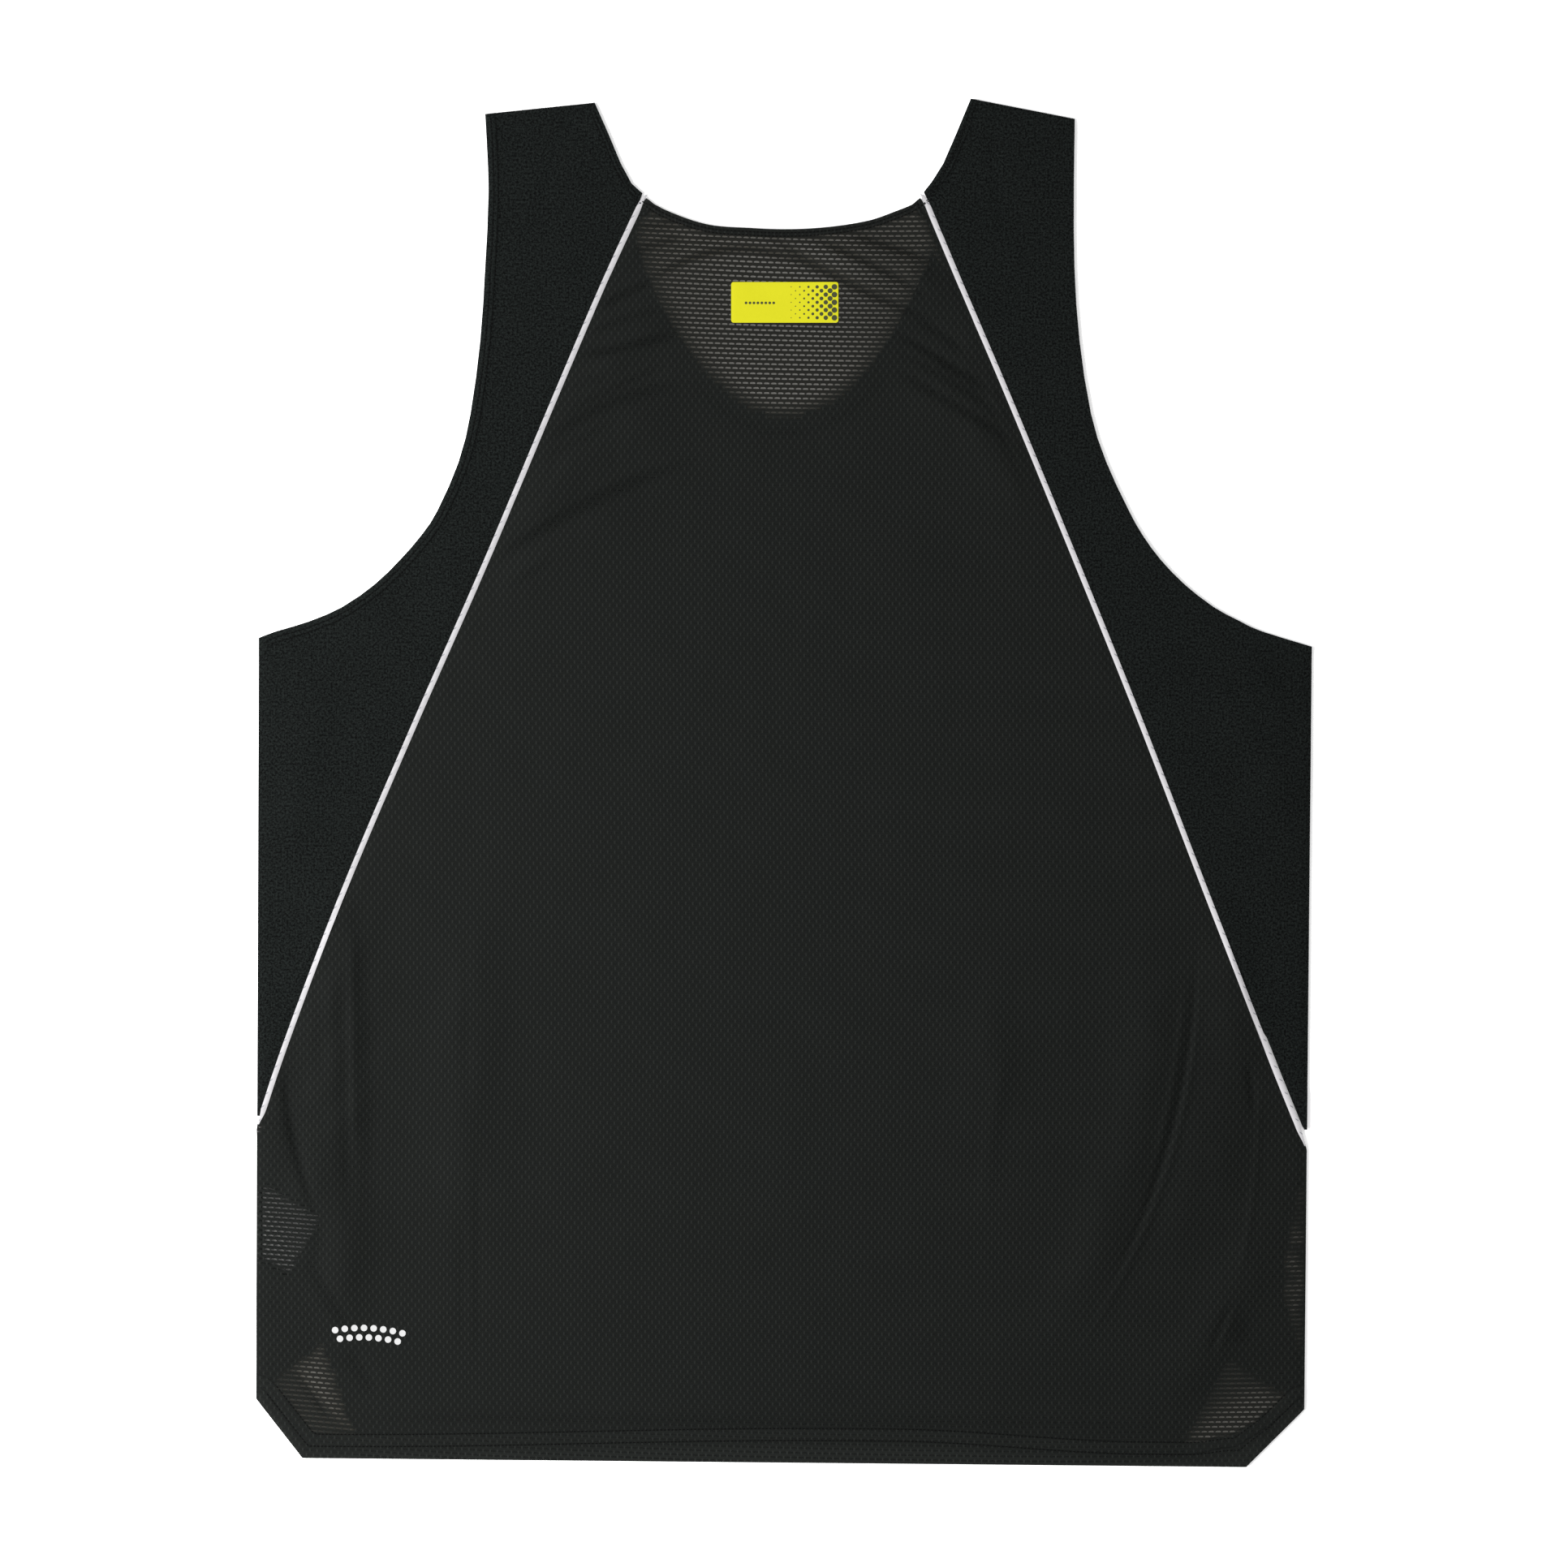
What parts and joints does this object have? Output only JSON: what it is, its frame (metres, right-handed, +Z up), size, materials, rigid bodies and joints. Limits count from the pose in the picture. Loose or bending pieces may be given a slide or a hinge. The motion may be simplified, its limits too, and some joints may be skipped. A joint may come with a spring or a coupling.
{
  "type": "basketball jersey",
  "caption": "Sleeveless basketball jersey laid flat with its back upwards: tapered mesh body, plain knit side panels, flat piping, deep armholes, round necklines.",
  "frame": {"origin": "middle of the garment's outline, on the surface that it lies on", "axes": "+X across the chest, to the right as seen from above; +Y up the garment, from the hem to the shoulders; +Z up from the surface"},
  "size_m": [0.5616, 0.728, 0.0066],
  "materials": {
    "body_mesh": "matt black warp-knitted mesh with rows of small slots",
    "side_knit": "matt black plain fine knit",
    "piping_tape": "white knitted tape with grey zigzag stitching",
    "label_film": "satin yellow transfer film",
    "label_ribbon": "white satin ribbon"
  },
  "bodies": {
    "root": {"front_center_panel": "body_mesh", "back_center_panel": "body_mesh", "front_side_panel_left": "side_knit", "front_side_panel_right": "side_knit", "back_side_panel_left": "side_knit", "back_side_panel_right": "side_knit", "front_piping_left": "piping_tape", "front_piping_right": "piping_tape", "back_piping_left": "piping_tape", "back_piping_right": "piping_tape", "neck_label": "label_film", "care_label": "label_ribbon"}
  },
  "joints": []
}
